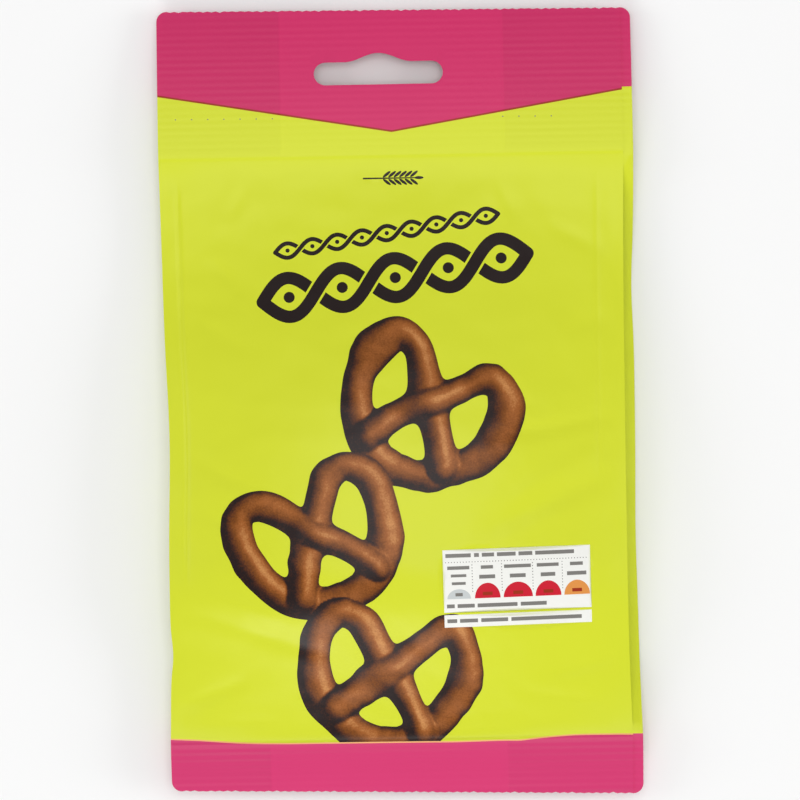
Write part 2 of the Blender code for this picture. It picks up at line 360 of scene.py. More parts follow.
def wrinkles(x, y):
    """All fine relief of the front's filled part: folds, three sizes of noise, puckers, creases."""
    left, right = front_left(y), front_right(y)
    off_seals = ease((y - FOOT_SEAL) / 6) * ease((HEADER_SEAL - y) / 6)
    off_sides = ease((x - left) / 4) * ease((right - x) / 4)
    relief = sum(fold(x, y, *values) for values in FOLDS)
    relief = relief + 0.30 * noise_field(x, y * 1.4, 26.0, 1.0)
    relief = relief + 0.15 * noise_field(x * 0.8, y * 1.5, 9.0, 2.0)
    relief = relief + 0.05 * noise_field(x + 0.4 * y, y - 0.4 * x, 3.8, 4.0)
    puckers = noise_field(x, y * 0.15, 4.5, 3.0)
    near_header = bell(y, HEADER_SEAL - 4.0, 7.0) * ease((54 - np.abs(x)) / 14)
    near_foot = bell(y, FOOT_SEAL + 3.0, 5.0)
    relief = relief + puckers * (HEADER_PUCKER * near_header + FOOT_PUCKER * near_foot)
    relief = relief * off_seals * off_sides
    left_crease = bell(x, left + LEFT_CREASE_INSET, 0.5) * ease((57 - y) / 8) * ease((y + 48) / 14)
    right_crease = bell(x, right - RIGHT_CREASE_INSET, 0.6) * ease((59 - y) / 10)
    right_crease = right_crease * ease((y + 30) / 30)
    return relief - LEFT_CREASE * left_crease - RIGHT_CREASE * right_crease


# %% Whole front and whole back
HEADER_DIP, FOOT_DIP = 0.05, 0.06
FIN_LEFT, FIN_RIGHT, FIN_RAISE = -2.0, 9.0, 0.3  # the seam under the back, and the step over it
FIN_BLEND, FIN_FADE = 0.8, 10


def seal_line(y):
    """The film dips in a fine line where a seal ends."""
    header = -HEADER_DIP * bell(y, HEADER_SEAL - 0.6, 0.7)
    return header - FOOT_DIP * bell(y, FOOT_SEAL + 0.5, 0.6)


def front_top(x, y):
    step = PLEAT_STEP * four_films(x, y) * (held(y - HEADER_SEAL) + held(FOOT_SEAL - y))
    return front_height(x, y) + ribs(x, y) + step + wrinkles(x, y) + seal_line(y)


def back_bottom(x, y):
    """The back panel steps over the seam that lies flat under it."""
    over_fin = ease((x - FIN_LEFT) / FIN_BLEND + 0.5) * ease((FIN_RIGHT - x) / FIN_BLEND + 0.5)
    off_seals = ease((y - FOOT_SEAL) / FIN_FADE) * ease((HEADER_SEAL - y) / FIN_FADE)
    return back_height(x, y) + ribs(x, y) + FIN_RAISE * over_fin * off_seals


print("height of the wrinkled front over the middle:", np.round(front_top(0.0, -20.0), 1))

# %% [markdown]
# ## Rows and edges
#
# The panels meet along the side creases and along the cut edges. If both neighbours have the
# same points there, they can be welded into one closed skin with no gaps. So the rows of points
# are made once and shared. Ribs need rows much closer together than the smooth middle does.

# %% Rows of points along the sides
ROWS_PER_RIB = 8
ARC_STEPS = 8
BODY_ROW_STEP = 1.0
ROW_GAP, BORDER_GAP = 0.1, 0.06  # rows closer than this to a corner or a print border are left out
PRINT_LEFT_Y, PRINT_RIGHT_Y, PRINT_TIP = 76.8, 76.5, (-0.9, 67.0)
STRIP_PRINT_Y = 77.2          # where the header's print ends on the strip beside the front
FOOT_PRINT_LEFT_Y, FOOT_PRINT_RIGHT_Y = -82.15, -83.05
OVERLAP = 0.46                # width of the dark line where the header's two inks overlap
FOOT_OVERLAP = 0.32           # width of the pale line along the foot's print

rib_step = RIB_PITCH / ROWS_PER_RIB
header_rows = np.arange(HEADER_SEAL, HEADER_EDGE + 1.0, rib_step)
foot_rows = np.arange(FOOT_SEAL, FOOT_EDGE - 2.0, -rib_step)[::-1]
body_count = round((HEADER_SEAL - FOOT_SEAL) / BODY_ROW_STEP)
body_rows = np.linspace(FOOT_SEAL, HEADER_SEAL, body_count + 1)[1:-1]
all_rows = np.concatenate([foot_rows, body_rows, header_rows])


def edge_y(x, header):
    """Height of the straight line that the cut teeth touch."""
    return HEADER_EDGE + HEADER_LEAN * x if header else FOOT_EDGE + FOOT_LEAN * x


def side_rows(header_x, foot_x, header_print, foot_print):
    """Rows along one side: quarter circles at both corners, and the shared rows between them."""
    turn = np.pi / 2 * np.arange(ARC_STEPS + 1) / ARC_STEPS
    top = edge_y(header_x, True) - CORNER_RADIUS + CORNER_RADIUS * np.sin(turn)
    bottom = edge_y(foot_x, False) + CORNER_RADIUS - CORNER_RADIUS * np.sin(turn)
    between = all_rows[(all_rows > bottom[0] + ROW_GAP) & (all_rows < top[0] - ROW_GAP)]
    borders = [header_print, header_print + OVERLAP, foot_print, foot_print - FOOT_OVERLAP]
    for y in borders:
        between = between[np.abs(between - y) > BORDER_GAP]
    return np.sort(np.concatenate([bottom, between, borders, top]))


right_x = PANEL_WIDTH / 2 - PANEL_SHIFT  # where the straight cut ends and the round corner starts
left_x = -right_x
foot_left_x, foot_right_x = left_x + FOOT_TAPER, right_x - FOOT_TAPER
left_rows = side_rows(left_x, foot_left_x, PRINT_LEFT_Y, FOOT_PRINT_LEFT_Y)
right_rows = side_rows(right_x, foot_right_x, PRINT_RIGHT_Y, FOOT_PRINT_RIGHT_Y)


def corner_inset(y, rows):
    """How far the round corners pull the outline in at y."""
    over = np.maximum(y - (rows[-1] - CORNER_RADIUS), (rows[0] + CORNER_RADIUS) - y)
    over = np.clip(over, 0.0, CORNER_RADIUS)
    return CORNER_RADIUS - np.sqrt(np.maximum(CORNER_RADIUS**2 - over**2, 0.0))


def outline_left(y):
    return front_left(y) + corner_inset(y, left_rows)


def outline_right(y):
    return back_right(y) - corner_inset(y, right_rows)


print("rows on the left and right side:", len(left_rows), len(right_rows))

# %% [markdown]
# ## Toothed cut edges and the hanging slot
#
# A zigzag knife cuts the bags apart, which leaves fine teeth. Real teeth are never quite even, so
# their depth varies with a slow wave. The slot is a long hole with round ends and a hump in the
# middle for the hook: two half circles and a raised cosine describe it completely.

# %% Teeth and slot outline
TOOTH_PITCH, TOOTH_DEPTH = 2.05, 0.35
SLOT_CENTRE, SLOT_LENGTH, SLOT_BOTTOM, SLOT_HEIGHT = -3.94, 32.0, 78.95, 5.7
HUMP_HEIGHT, HUMP_HALF = 2.2, 8.4
END_POINTS, HUMP_POINTS, FLAT_POINTS = 25, 33, 41


def cut_edge(from_x, to_x, header):
    """Teeth from one x to another, both ends included, as an array of places."""
    count = 2 * round(abs(to_x - from_x) / TOOTH_PITCH)
    corner = np.arange(count + 1)
    x = mix(from_x, to_x, corner / count)
    depth = TOOTH_DEPTH * (0.62 + 0.38 * np.sin(x * 0.9) * np.cos(x * 0.37))
    inward = -1 if header else 1
    return np.column_stack([x, edge_y(x, header) + inward * depth * (corner % 2)])


def slot_top(offset):
    """The slot's upper edge, by the distance from its middle: the hump is a raised cosine."""
    offset = np.clip(offset, -HUMP_HALF, HUMP_HALF)
    rise = HUMP_HEIGHT * (0.5 + 0.5 * np.cos(np.pi * offset / HUMP_HALF))
    return SLOT_BOTTOM + SLOT_HEIGHT + rise


def slot_outline():
    radius = SLOT_HEIGHT / 2
    reach = SLOT_LENGTH / 2 - radius
    middle = SLOT_BOTTOM + radius
    turn = np.linspace(-np.pi / 2, np.pi / 2, END_POINTS)
    across, up = radius * np.cos(turn), radius * np.sin(turn)
    right = np.column_stack([SLOT_CENTRE + reach + across, middle + up])
    left = np.column_stack([SLOT_CENTRE - reach - across, middle - up])
    offset = np.linspace(HUMP_HALF, -HUMP_HALF, HUMP_POINTS)
    hump = np.column_stack([SLOT_CENTRE + offset, slot_top(offset)])
    flat_x = np.linspace(SLOT_CENTRE - reach, SLOT_CENTRE + reach, FLAT_POINTS)[1:-1]
    flat = np.column_stack([flat_x, np.full(len(flat_x), SLOT_BOTTOM)])
    return np.vstack([right, hump, left, flat])


header_cut = cut_edge(right_x, left_x, True)
foot_cut = cut_edge(foot_left_x, foot_right_x, False)
slot_edge = slot_outline()
print("teeth:", len(header_cut) // 2, "in the header and", len(foot_cut) // 2, "in the foot")

# %% [markdown]
# ## Filling a panel with triangles
#
# Blender can triangulate any set of points and lines so that every line stays an edge. That is
# ideal for printed film: the outline of each printed figure becomes real mesh edges, so two inks
# meet in a crisp line on one unbroken skin and no picture is needed. The alternative, a second
# skin floating over the film, would show at its border.

# %% Helpers that fill an outline
def inside(places, loop):
    """True for each place inside a closed loop, by counting crossings."""
    result = np.zeros(len(places), bool)
    box = ((places > loop.min(axis=0)) & (places < loop.max(axis=0))).all(axis=1)
    x, y = places[box].T
    odd = np.zeros(len(x), bool)
    for (ax, ay), (bx, by) in zip(loop, np.roll(loop, -1, axis=0)):
        if ay != by:
            odd ^= ((ay > y) != (by > y)) & (x < (bx - ax) * (y - ay) / (by - ay) + ax)
    result[box] = odd
    return result


def joined(line, closed):
    """A line as places and the pairs of places that its edges join."""
    pairs = [(n, n + 1) for n in range(len(line) - 1)]
    return line, pairs + [(len(line) - 1, 0)] if closed else pairs


SLIVER = 0.0005                # thinner than this along a straight rim isn't a real triangle
SAME_POINT = 0.00001


def fill_outline(outline, holes, nets, loose):
    """Triangles inside an outline and outside its holes; each net is places and their edges."""
    points, edges = [], []
    for places, pairs in [joined(outline, True), *[joined(hole, True) for hole in holes], *nets]:
        first = len(points)
        points.extend(Vector(place) for place in places)
        edges.extend((first + a, first + b) for a, b in pairs)
    points.extend(Vector(place) for place in loose)
    found = delaunay_2d_cdt(points, edges, [], 0, SAME_POINT, False)
    places = np.array([tuple(place) for place in found[0]])
    triangles = np.array(found[2])
    middles = places[triangles].mean(axis=1)
    a, b, c = (places[triangles[:, n]] for n in range(3))
    area = np.abs((b - a)[:, 0] * (c - a)[:, 1] - (b - a)[:, 1] * (c - a)[:, 0]) / 2
    longest = np.max([np.linalg.norm(side, axis=1) for side in (a - b, b - c, c - a)], axis=0)
    ring_points = len(outline) + sum(len(hole) for hole in holes)
    sliver = (triangles < ring_points).all(axis=1) & (area < SLIVER * longest**2)
    keep = ~sliver & inside(middles, outline)
    for hole in holes:
        keep &= ~inside(middles, hole)
    return places, triangles[keep]


def clear_of(places, lines, gap):
    """Drop loose places that lie closer than the gap to any point of the lines."""
    marks = np.vstack(lines)
    tree = kdtree.KDTree(len(marks))
    for number, (x, y) in enumerate(marks):
        tree.insert((x, y, 0), number)
    tree.balance()
    far = [tree.find((x, y, 0))[2] > gap for x, y in places]
    return places[np.array(far)]


# %% [markdown]
# ## The print: strands
#
# Two printed figures are made of strands: the twisted bands and the pretzels. A strand is a
# centre line with a half width. Offsetting the line to both sides gives the edges for the mesh,
# and the distance from the line tells which faces belong to the strand.

# %% Strand helpers
def strand_sides(centre, half_width):
    """The two edges of a strand: the centre line moved sideways by its half width."""
    ahead = np.gradient(centre, axis=0)
    ahead /= np.linalg.norm(ahead, axis=1)[:, None]
    sideways = np.column_stack([-ahead[:, 1], ahead[:, 0]]) * half_width
    return centre + sideways, centre - sideways


def nearest_on(centre, places):
    """Distance from each place to a centre line, and where along it the nearest point is."""
    best = np.full(len(places), 1e9)
    where = np.zeros(len(places))
    for number, (start, end) in enumerate(zip(centre, centre[1:])):
        run = end - start
        share = held(((places - start) @ run) / (run @ run))
        distance = np.linalg.norm(places - start - share[:, None] * run, axis=1)
        closer = distance < best
        best[closer] = distance[closer]
        where[closer] = number + share[closer]
    return best, where


def turned(places, centre, angle):
    """Places turned about the origin and then moved to a centre."""
    cos, sin = math.cos(angle), math.sin(angle)
    return np.asarray(places) @ np.array([[cos, sin], [-sin, cos]]) + np.asarray(centre)


def circle(centre, radius_x, radius_y=None, steps=16):
    angle = 2 * np.pi * np.arange(steps) / steps
    radius_y = radius_x if radius_y is None else radius_y
    x, y = radius_x * np.cos(angle), radius_y * np.sin(angle)
    return np.column_stack([centre[0] + x, centre[1] + y])


def grid_places(grid_x, grid_y):
    """The corners of a grid as one list of places."""
    return np.column_stack([grid_x.ravel(), grid_y.ravel()])


# %% [markdown]
# ## The print: twisted bands
#
# The largest dark figures of the print are an old bakers' and builders' ornament: a band of two
# strands that twist round each other, with a bead in every eye. Two sine waves in opposite step
# draw it. At each crossing one strand stops a little short of the other, which makes it read as
# a twist. At both ends the strands join in one rounded point.

# %% Twisted bands
STEPS_PER_EYE = 20
BEAD_SHARE = 0.42             # radius of a bead, as a share of the opening of its eye


class TwistedBand:
    def __init__(self, centre, angle, length, height, half_width, crossings, gap):
        self.place, self.angle, self.length = centre, angle, length
        self.half_width, self.gap, self.crossings = half_width, gap, crossings
        self.eye = length / crossings
        x = np.linspace(-length / 2, length / 2, crossings * STEPS_PER_EYE + 1)
        wave = (height / 2 - half_width) * np.sin(np.pi * (x + length / 2) / self.eye)
        self.strands = [np.column_stack([x, wave]), np.column_stack([x, -wave])]
        eyes = -length / 2 + self.eye * (np.arange(crossings) + 0.5)
        bead = (height / 2 - 2 * half_width) * BEAD_SHARE
        self.beads = [circle((x, 0), bead) for x in eyes]

    def lines(self):
        made = [(bead, True) for bead in self.beads]
        for strand in self.strands:
            for width in (self.half_width, self.half_width + self.gap):
                made += [(side, False) for side in strand_sides(strand, width)]
            for end in (strand[0], strand[-1]):
                made.append((circle(end, self.half_width, steps=20), True))
        return [joined(turned(line, self.place, self.angle), closed) for line, closed in made]

    def covers(self, places):
        local = turned(places - np.asarray(self.place), (0, 0), -self.angle)
        first = nearest_on(self.strands[0], local)[0]
        second = nearest_on(self.strands[1], local)[0]
        crossing = np.round((local[:, 0] + self.length / 2) / self.eye)
        first_on_top = crossing % 2 == 0
        upper = np.where(first_on_top, first, second)
        lower = np.where(first_on_top, second, first)
        at_end = (crossing < 1) | (crossing > self.crossings - 1)
        apart = at_end | (upper > self.half_width + self.gap)
        inked = (upper < self.half_width) | ((lower < self.half_width) & apart)
        for bead in self.beads:
            inked |= inside(local, bead)
        return inked


bands = [
    TwistedBand((-0.7, 30.8), math.radians(9.5), 66.5, 12.8, 1.55, 5, 0.55),
    TwistedBand((-2.6, 41.9), math.radians(8.9), 56.0, 4.6, 0.52, 9, 0.30),
]
print("beads in the bands:", [len(band.beads) for band in bands])

# %% [markdown]
# ## The print: a sprig of wheat
#
# Above the bands lies a small sprig of wheat, a common bakery ornament: a thin stem with pairs
# of slim grains that lean outwards.

# %% Wheat sprig
SPRIG_CENTRE, SPRIG_LENGTH = (-1.0, 55.6), 14.5
GRAIN_PAIRS, GRAIN_SPACING, GRAIN_LEAN = 6, 1.35, math.radians(38)
stem = np.array([(-0.5, -0.014), (0.42, -0.009), (0.42, 0.009), (-0.5, 0.014)]) * SPRIG_LENGTH
grains = [turned(circle((0.55, 0), 1.15, 0.38), (SPRIG_LENGTH * 0.42, 0), 0)]
for pair in range(GRAIN_PAIRS):
    root = -0.16 * SPRIG_LENGTH + pair * GRAIN_SPACING
    for side in (-1, 1):
        grain = circle((1.25, 0), 1.2, 0.36)
        grains.append(turned(grain, (root, side * 0.2), side * GRAIN_LEAN))
sprig = [np.asarray(shape) + np.array(SPRIG_CENTRE) for shape in [stem, *grains]]
print("grains on the sprig:", len(grains))

# %% [markdown]
# ## The print: pretzels
#
# The pack shows large chocolate coated pretzels. They are drawn here as the plain traditional
# knot: one strand whose arms cross in the middle and rest on its belly. The knot is worked out
# once, in units of its own radius, as maps on a square grid: how far a place is from the
# strand's edge, and how high an imaginary strand would stand there. The maps blend softly where
# strands touch, as a coating fills such corners. The slopes of the height map later give the
# light and dark of the printed chocolate.

# %% One knot in units of its radius
STRAND_HALF_WIDTH = 0.19
CORNER_FILLET = 0.045
ARM_BLEND = 0.022
KNOT_GRID = np.linspace(-1.35, 1.35, 271)
RIGHT_ARM = (  # x, y and height of the strand, from the arm's tip to the middle of the belly
    (-0.52, -0.60, 0.15),
    (-0.37, -0.40, 0.13),
    (-0.17, -0.15, 0.06),
    (0.05, 0.10, 0.05),
    (0.25, 0.36, 0.02),
    (0.46, 0.59, 0.0),
    (0.71, 0.61, 0.0),
    (0.89, 0.34, 0.0),
    (0.90, -0.06, 0.0),
    (0.74, -0.46, 0.0),
    (0.42, -0.76, 0.0),
    (0.0, -0.87, 0.0),
)


def smooth_curve(points, steps):
    """A Catmull-Rom curve through the points, with extra ends so that it reaches both ends."""
    points = np.asarray(points, float)
    ends = np.vstack([2 * points[0] - points[1], points, 2 * points[-1] - points[-2]])
    share = (np.arange(steps) / steps)[:, None]
    runs = []
    for a, b, c, d in zip(ends, ends[1:], ends[2:], ends[3:]):
        bend = 2 * a - 5 * b + 4 * c - d
        twist = 3 * b - a - 3 * c + d
        runs.append(0.5 * (2 * b + (c - a) * share + bend * share**2 + twist * share**3))
    return np.vstack([*runs, points[-1:]])


# %% Maps of the knot
OUTER_SLOPE = 2.5             # how steeply the height falls beyond the strand
FAR_AWAY = 9.0


def arm_maps(arm, own_side):
    """Distance to an arm's edge and height of the arm, for each place of the knot grid."""
    places = grid_places(*np.meshgrid(KNOT_GRID, KNOT_GRID))
    distance, where = nearest_on(arm[:, :2], places)
    past_middle = own_side * (places[:, 0] + 0.0001) < 0
    distance[past_middle & (where > len(arm) - 2)] = FAR_AWAY
    lift = np.interp(where, np.arange(len(arm)), arm[:, 2])
    dome = STRAND_HALF_WIDTH * np.sqrt(held(1 - (distance / STRAND_HALF_WIDTH) ** 2))
    gap = distance - STRAND_HALF_WIDTH
    height = lift + dome - OUTER_SLOPE * np.maximum(gap, 0)
    return [field.reshape(len(KNOT_GRID), len(KNOT_GRID)) for field in (gap, height)]


def blurred(field, times):
    """Each pass averages every grid place with its neighbours."""
    for _ in range(times):
        field = (np.roll(field, 1, 0) + 2 * field + np.roll(field, -1, 0)) / 4
        field = (np.roll(field, 1, 1) + 2 * field + np.roll(field, -1, 1)) / 4
    return field


right_arm = smooth_curve(RIGHT_ARM, 8)
left_arm = right_arm * (-1, 1, 1)
right_arm[:, 2] += 0.10 * bell(np.hypot(right_arm[:, 0], right_arm[:, 1]), 0, 0.28)
right_gap, right_height = arm_maps(right_arm, 1)
left_gap, left_height = arm_maps(left_arm, -1)
knot_gap = -CORNER_FILLET * np.logaddexp(-right_gap / CORNER_FILLET, -left_gap / CORNER_FILLET)
knot_height = ARM_BLEND * np.logaddexp(right_height / ARM_BLEND, left_height / ARM_BLEND)
raised = knot_height - np.maximum(right_height, left_height)  # the coating in the corners
knot_joint = blurred(raised / (ARM_BLEND * math.log(2)), 6)
knot_height = blurred(knot_height, 5)
print("knot maps:", knot_gap.shape)

# %% [markdown]
# Each printed pretzel reads the same maps, but through a soft wobble of its own, so no two are
# alike. Its outline is found cell by cell: wherever the edge distance changes sign between two
# grid corners, the outline crosses that side.

# %% Reading a knot map
def read_map(field, places):
    """Value of a knot map between its grid places."""
    at = np.clip((places - KNOT_GRID[0]) / (KNOT_GRID[1] - KNOT_GRID[0]), 0, len(KNOT_GRID) - 1.001)
    column, row = at[:, 0].astype(int), at[:, 1].astype(int)
    right, up = at[:, 0] - column, at[:, 1] - row
    low = mix(field[row, column], field[row, column + 1], right)
    high = mix(field[row + 1, column], field[row + 1, column + 1], right)
    return mix(low, high, up)


print("edge distance in the middle of the knot:", read_map(knot_gap, np.zeros((1, 2))).round(3))

# %% Pretzels of the print
OUTLINE_STEP = 0.36
WOBBLE, FINE_WOBBLE = 0.085, 0.012
KNOT_REACH = 1.3              # everything of a knot lies within this many radii of its centre
SLOPE_STEP = 0.22
LIGHT, GLOSS = (-0.54, -0.28, 0.79), (-0.30, -0.22, 0.93)  # where the painted light comes from
GLOSS_POWER = 24


class Pretzel:
    def __init__(self, centre, radius, angle, side, layer):
        self.centre, self.radius, self.angle = np.array(centre), radius, angle
        self.side, self.layer = side, layer

    def local(self, places):
        flat = turned(places - self.centre, (0, 0), -self.angle) / self.radius
        wobble_x = noise_field(flat[:, 0], flat[:, 1], 0.6, self.layer)
        wobble_y = noise_field(flat[:, 0], flat[:, 1], 0.6, self.layer + 9.0)
        fine = FINE_WOBBLE * noise_field(flat[:, 0], flat[:, 1], 0.16, self.layer + 5.0)
        shift = np.column_stack([WOBBLE * wobble_x + fine, WOBBLE * wobble_y - fine])
        return (flat + shift) * (self.side, 1)

    def gap(self, places):
        """Distance to the printed edge in millimetres, negative inside."""
        return read_map(knot_gap, self.local(places)) * self.radius

    def near(self, places):
        return np.linalg.norm(places - self.centre, axis=1) < KNOT_REACH * self.radius

    def covers(self, places):
        result = self.near(places)
        result[result] = self.gap(places[result]) < 0
        return result

    def outline(self):
        """Places along the printed edge and the pairs of places that its short lines join."""
        reach = KNOT_REACH * self.radius
        steps = np.arange(-reach, reach, OUTLINE_STEP)
        grid_x, grid_y = np.meshgrid(self.centre[0] + steps, self.centre[1] + steps)
        gap = self.gap(grid_places(grid_x, grid_y)).reshape(grid_x.shape)
        places, pairs, known = [], [], {}

        def crossing(a, b):
            key = (min(a, b), max(a, b))
            if key not in known:
                share = np.clip(gap[a] / (gap[a] - gap[b]), 0.03, 0.97)
                known[key] = len(places)
                places.append((mix(grid_x[a], grid_x[b], share), mix(grid_y[a], grid_y[b], share)))
            return known[key]

        within = gap < 0
        count = within[:-1, :-1].astype(int) + within[1:, :-1] + within[:-1, 1:] + within[1:, 1:]
        for row, column in zip(*np.nonzero((count > 0) & (count < 4))):
            ring = [(row, column), (row, column + 1), (row + 1, column + 1), (row + 1, column)]
            sides = zip(ring, ring[1:] + ring[:1])
            cuts = [crossing(a, b) for a, b in sides if within[a] != within[b]]
            pairs += list(zip(cuts[::2], cuts[1::2]))
        return np.array(places), pairs

    def tone(self, places):
        """Printed light and dark, 0 to 1, from the slopes of the imaginary strand."""
        local = self.local(places)
        here = read_map(knot_height, local)
        slope_x, slope_y = (
            (read_map(knot_height, self.local(places + step)) - here) * self.radius / SLOPE_STEP
            for step in ((SLOPE_STEP, 0), (0, SLOPE_STEP))
        )
        length = np.sqrt(1 + slope_x**2 + slope_y**2)
        light, gloss = (
            held((x * slope_x + y * slope_y + z) / length) for x, y, z in (LIGHT, GLOSS)
        )
        rim = held(1 + read_map(knot_gap, local) / (0.45 * STRAND_HALF_WIDTH))
        patches = noise_field(local[:, 0], local[:, 1], 0.3, self.layer + 2.0)
        dark = 0.30 * held(read_map(knot_joint, local)) + 0.26 * rim**2
        return held(-0.32 + 1.02 * light + 0.24 * gloss**GLOSS_POWER - dark + 0.12 * patches)


pretzels = [
    Pretzel((6.5, -1.0), 20.5, math.radians(-27), 1, 1.5),
    Pretzel((-21.5, -32.0), 20.0, math.radians(24), -1, 4.5),
    Pretzel((-4.5, -66.5), 20.5, math.radians(-12), 1, 7.5),
]
print("printed pretzels:", len(pretzels))

# %% [markdown]
# ## The print: the information panel
#
# A white panel on the lower right holds a plain chart: a row of coloured half discs, grey and
# dark bars, and dotted lines between the columns. Everything is placed in the panel's own frame,
# from its top left corner, so the whole chart can be moved or turned at once. A broken row of
# larger dots across the header marks where the bag is torn open.

# %% Information panel
PANEL_CORNER, PANEL_ANGLE = (9.5, -36.3), math.radians(0.8)
COLUMN_MIDDLES = (3.75, 10.75, 18.25, 25.7, 32.8)
COLUMN_BORDERS = (7.1, 14.35, 21.95, 29.25)
DISC_BASE = 12.05
DISC_SIZES = ((2.9, 2.4), (3.15, 3.75), (3.6, 3.75), (3.2, 3.75), (3.2, 3.6))
LEFT_BARS = (  # top and height of a row of bars, then the left end and width of each bar
    (0.95, 0.95, ((0.7, 6.2), (7.7, 1.2), (9.6, 3.0), (13.3, 4.6), (18.6, 3.4), (22.7, 9.6))),
    (13.35, 0.95, ((0.7, 1.9), (3.3, 4.2), (8.2, 9.8), (18.8, 6.4))),
    (17.05, 0.95, ((0.7, 2.4), (3.8, 4.4), (9.0, 6.6), (16.4, 17.4))),
)
COLUMN_BARS = (  # top and height of a row of bars, then the middle and width of each bar
    (4.0, 0.85, ((3.75, 5.4), (10.75, 3.0), (18.25, 6.6), (25.7, 5.4), (32.8, 3.2))),
    (6.3, 0.95, ((10.75, 3.9), (18.25, 3.9), (25.7, 3.6), (32.8, 4.8))),
    (6.0, 0.7, ((3.75, 3.8),)),
    (7.9, 0.7, ((3.75, 3.4),)),
    (10.6, 0.8, ((3.75, 1.8),)),
)
DARK_BAR_TOP, DARK_BAR_WIDTH, DARK_BAR_HEIGHT = 10.5, 2.4, 0.85
DOT_STEP, DOT_RADIUS = 0.72, 0.14
TEAR_Y, TEAR_STEP, TEAR_DOT_RADIUS = 70.6, 4.0, 0.17


def on_panel(places):
    return turned(np.asarray(places, float) * (1, -1), PANEL_CORNER, PANEL_ANGLE)


def bar(left, top, width, height):
    right, foot = left + width, top + height
    return on_panel([(left, top), (right, top), (right, foot), (left, foot)])


def half_disc(middle, half_width, height):
    angle = np.linspace(0, np.pi, 17)
    x, y = middle + half_width * np.cos(angle), DISC_BASE - height * np.sin(angle)
    return on_panel(np.column_stack([x, y]))


def panel_dot(x, y):
    return on_panel(circle((x, y), DOT_RADIUS, steps=6))


panel_white = [bar(0, 0, 36.3, 15.4), bar(0, 16.0, 36.3, 3.1)]
discs = [half_disc(middle, *size) for middle, size in zip(COLUMN_MIDDLES, DISC_SIZES)]
panel_pale, panel_red, panel_orange = discs[:1], discs[1:4], discs[4:]
left_bars = [
    [bar(left, top, width, height) for left, width in bars] for top, height, bars in LEFT_BARS
]
column_bars = [
    bar(middle - width / 2, top, width, height)
    for top, height, bars in COLUMN_BARS
    for middle, width in bars
]
panel_grey = [*left_bars[0], *column_bars, *left_bars[1], *left_bars[2]]
panel_dark = [
    bar(middle - DARK_BAR_WIDTH / 2, DARK_BAR_TOP, DARK_BAR_WIDTH, DARK_BAR_HEIGHT)
    for middle in COLUMN_MIDDLES[1:]
]
panel_dots = [panel_dot(0.7 + DOT_STEP * n, 3.05) for n in range(49)]
for border_x in COLUMN_BORDERS:
    panel_dots += [panel_dot(border_x, 3.8 + DOT_STEP * n) for n in range(10)]
tear_x = np.concatenate([-54.4 + TEAR_STEP * np.arange(7), 26.7 + TEAR_STEP * np.arange(4)])
tear_dots = [circle((x, TEAR_Y + HEADER_LEAN * x), TEAR_DOT_RADIUS, steps=8) for x in tear_x]
print("bars on the panel:", len(panel_grey) + len(panel_dark), "dots:", len(panel_dots))

# %% [markdown]
# ## The front panel
#
# The front is filled in one go: its outline, the slot, every printed line, the rows of the ribs
# and loose points between them. Loose points are dense where the printed pretzels need smooth
# shading and where the side creases bend. Each triangle then takes the ink of the topmost figure
# that covers its middle.

# %% Lines and points of the front
FOOT_PRINT_SAG = (  # x and y of the foot print's upper border, which rises over the right pleat
    (-51.4, -82.55), (-41.4, -83.35), (-31.5, -83.7), (-20.0, -83.8), (3.0, -83.95),
    (12.0, -84.05), (23.0, -83.9), (28.0, -83.95), (32.0, -83.55), (38.0, -83.1),
    (43.0, -82.9), (52.8, -82.95),
)
EDGE_GAP, SLOT_GAP, SLOT_END_GAP = 0.8, 0.4, 0.5  # how clear of the rim and the slot the ribs stay
ACROSS_PLEAT_EDGE = (-0.45, -0.15, 0.15, 0.45)    # columns across the small step of a pleat's edge
BESIDE_SEAL = (0.3, 0.6, 0.9, 1.3)                # rows beside the fine line where a seal ends
BESIDE_LEFT = np.array([0.35, 0.8, 1.4, 2.1, 2.8, 3.3, 3.7, 4.05, 4.4, 4.75, 5.1, 5.5, 6.1])
BESIDE_RIGHT = np.array([0.35, 0.8, 1.5, 2.4, 3.4, 4.4, 5.2, 5.8, 6.25, 6.6, 6.95, 7.4, 8.0])


def level_row(x, y):
    return np.column_stack([x, np.full(len(x), y)])


def border(left_y, middle, right_y, shift=0.0):
    """A print border across the front: its middle places between points on both creases."""
    left = (front_left(left_y + shift), left_y + shift)
    right = (front_right(right_y + shift), right_y + shift)
    return np.vstack([left, np.asarray(middle) + (0, shift), right])


def runs_of(keep):
    """Start and stop of each unbroken run of True values at least two long."""
    change = np.diff(np.concatenate([[False], keep, [False]]).astype(int))
    pairs = zip(np.nonzero(change == 1)[0], np.nonzero(change == -1)[0])
    return [(start, stop) for start, stop in pairs if stop - start > 1]


def rib_lines(left_edge, right_edge, columns):
    """One line for each row of a seal, kept clear of the cut edges and of the slot."""
    lines = []
    for y in np.concatenate([foot_rows, header_rows]):
        header = y > 0
        left, right = left_edge(y), right_edge(y)
        between = columns[(columns > left + EDGE_GAP) & (columns < right - EDGE_GAP)]
        x = np.concatenate([[left], between, [right]])
        edge = edge_y(x, header)
        keep = (edge - y if header else y - edge) > EDGE_GAP
        keep[0] &= y in left_rows
        keep[-1] &= y in right_rows
        if SLOT_BOTTOM - SLOT_GAP < y < SLOT_BOTTOM + SLOT_HEIGHT + HUMP_HEIGHT + SLOT_GAP:
            keep &= np.abs(x - SLOT_CENTRE) > SLOT_LENGTH / 2 + SLOT_END_GAP
        row = level_row(x, y)
        lines += [joined(row[start:stop], False) for start, stop in runs_of(keep)]
    return lines


